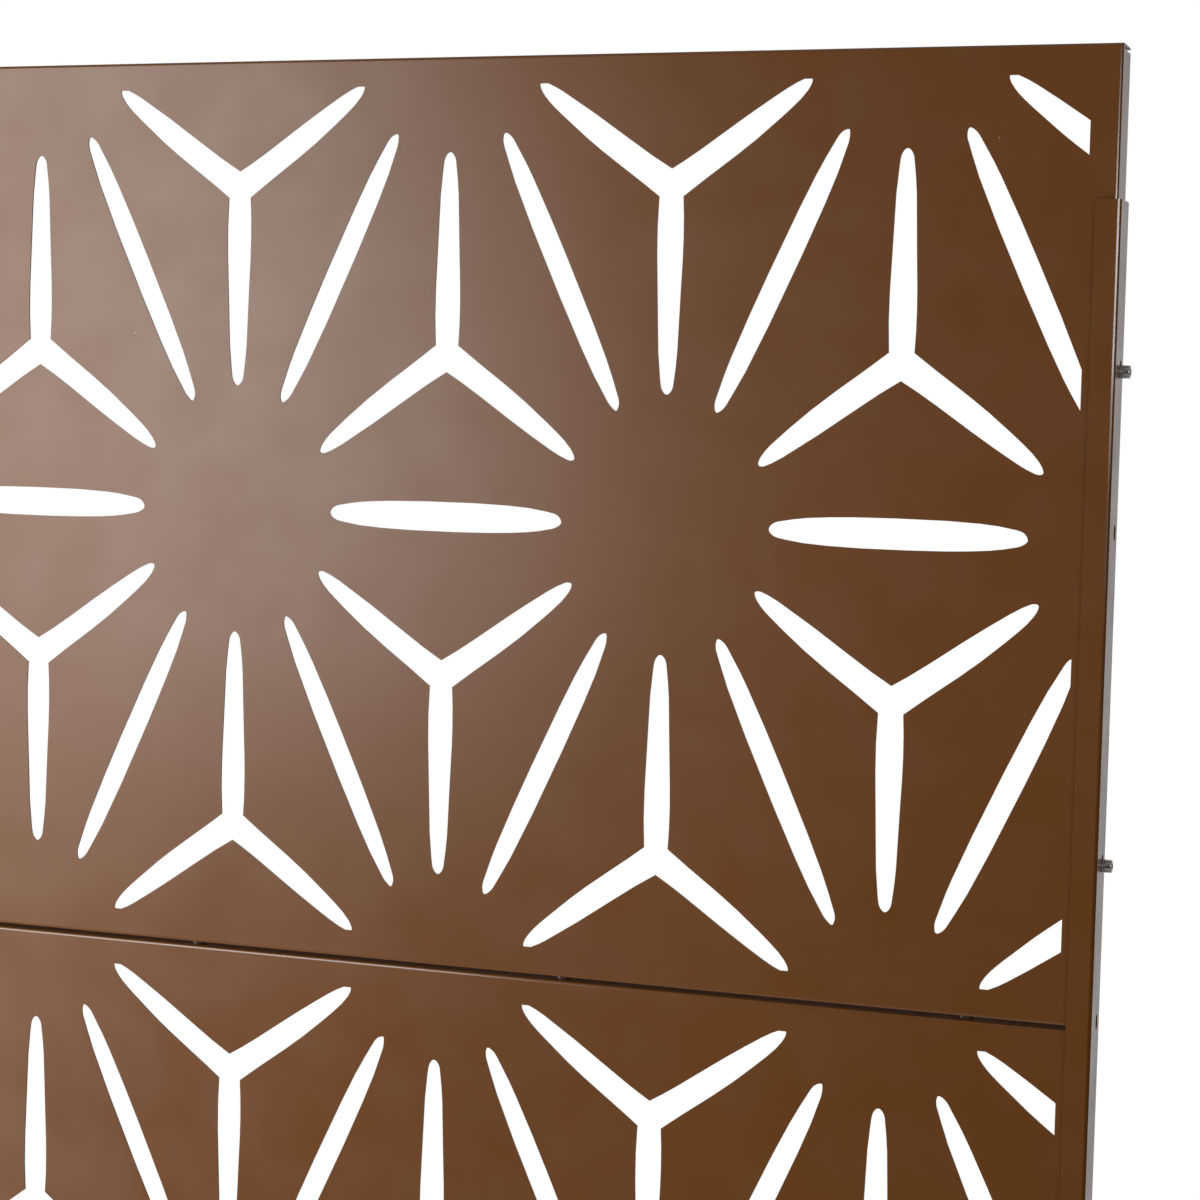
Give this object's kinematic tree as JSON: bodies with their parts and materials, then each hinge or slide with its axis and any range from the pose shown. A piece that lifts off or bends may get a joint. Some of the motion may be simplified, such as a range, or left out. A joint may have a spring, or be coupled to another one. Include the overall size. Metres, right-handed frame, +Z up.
{
  "type": "freestanding privacy screen",
  "caption": "Freestanding metal privacy screen: stacked folded panels with a laser-cut star lattice, screwed to slotted angle posts on flat feet",
  "frame": {"origin": "on the ground, midway between the two feet and midway through the panels' depth", "axes": "+X along the screen to the right as seen from its front, -Y towards the front, +Z up"},
  "size_m": [1.2446, 0.4, 1.957],
  "materials": {
    "panel_coat": "dark brown powder coat, satin",
    "post_coat": "dark brown powder coat, satin",
    "screw_steel": "bright turned steel",
    "zinc_steel": "zinc-plated steel"
  },
  "bodies": {
    "root": {"bottom_panel": "panel_coat", "middle_panel": "panel_coat", "top_panel": "panel_coat", "right_post_lower": "post_coat", "right_post_upper": "post_coat", "left_post_lower": "post_coat", "left_post_upper": "post_coat", "right_foot_plate": "post_coat", "left_foot_plate": "post_coat", "right_foot_bracket": "post_coat", "left_foot_bracket": "post_coat", "right_side_screws": "screw_steel", "left_side_screws": "screw_steel", "foot_screws": "screw_steel", "plate_screws": "screw_steel", "lower_seam_screws": "screw_steel", "upper_seam_screws": "screw_steel", "right_side_washers": "zinc_steel", "left_side_washers": "zinc_steel", "foot_washers": "zinc_steel", "right_side_nuts": "zinc_steel", "left_side_nuts": "zinc_steel", "foot_nuts": "zinc_steel", "plate_nuts": "zinc_steel", "lower_seam_spacers": "zinc_steel", "upper_seam_spacers": "zinc_steel", "lower_seam_nuts": "zinc_steel", "upper_seam_nuts": "zinc_steel"}
  },
  "joints": []
}
